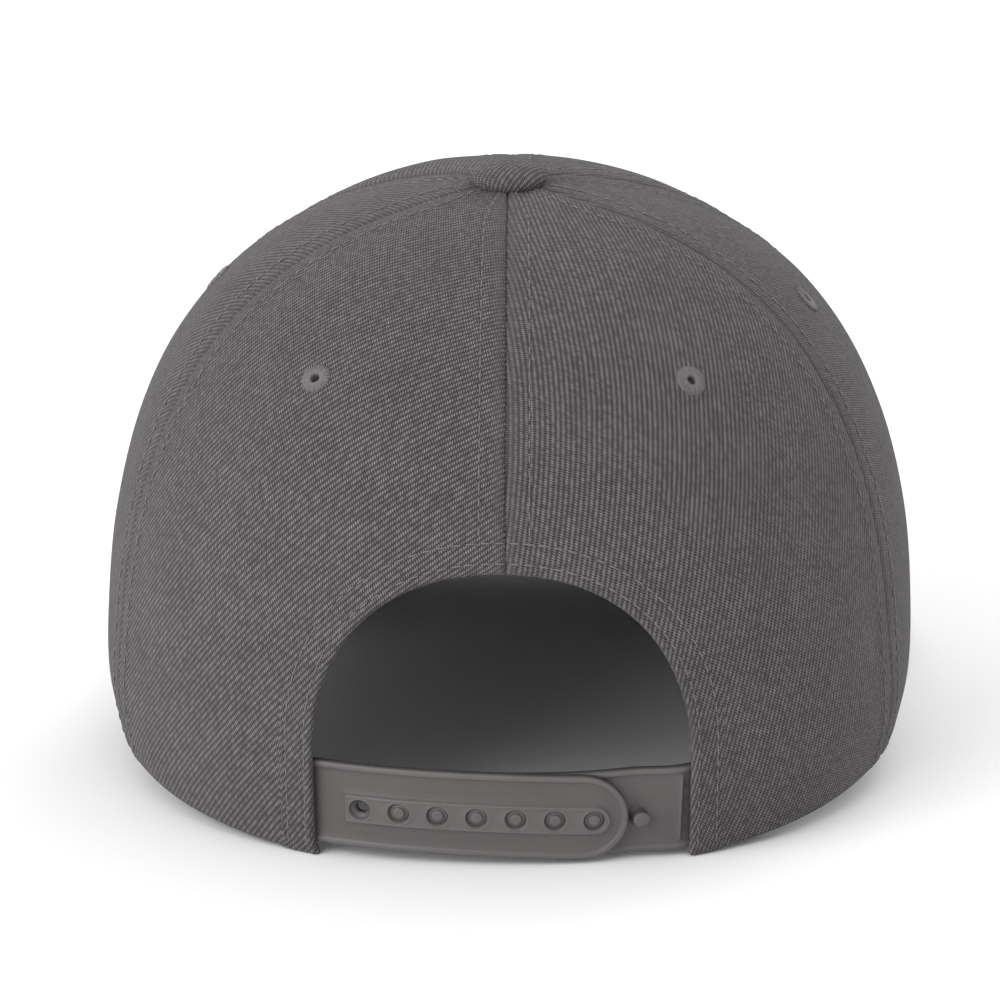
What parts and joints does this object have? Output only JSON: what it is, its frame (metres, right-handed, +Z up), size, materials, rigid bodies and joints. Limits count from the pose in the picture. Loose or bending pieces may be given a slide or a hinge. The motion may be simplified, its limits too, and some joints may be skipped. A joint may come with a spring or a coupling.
{
  "type": "snapback cap",
  "caption": "Soft cloth cap with a curved peak, a covered top button, sewn eyelets and an arched back opening closed by a moulded snap strap.",
  "frame": {"origin": "middle of the underside of the box round the cap, on the surface that the cap rests on", "axes": "+Y from the adjuster towards the peak, +X to the right as seen from behind the adjuster, +Z up"},
  "size_m": [0.186, 0.2636, 0.1376],
  "materials": {
    "cloth": "warm grey cotton twill, matt",
    "thread": "warm grey sewing thread, slight sheen",
    "band": "warm grey plain cotton, matt",
    "strap": "warm grey moulded plastic, satin"
  },
  "bodies": {
    "root": {"panel_back_left": "cloth", "panel_back_right": "cloth", "panel_side_left": "cloth", "panel_side_right": "cloth", "panel_front_left": "cloth", "panel_front_right": "cloth", "peak": "cloth", "button": "cloth", "eyelet_back_left": "thread", "eyelet_back_right": "thread", "eyelet_side_left": "thread", "eyelet_side_right": "thread", "eyelet_front_left": "thread", "eyelet_front_right": "thread", "sweatband": "band", "strap_left": "strap", "strap_right": "strap"}
  },
  "joints": []
}
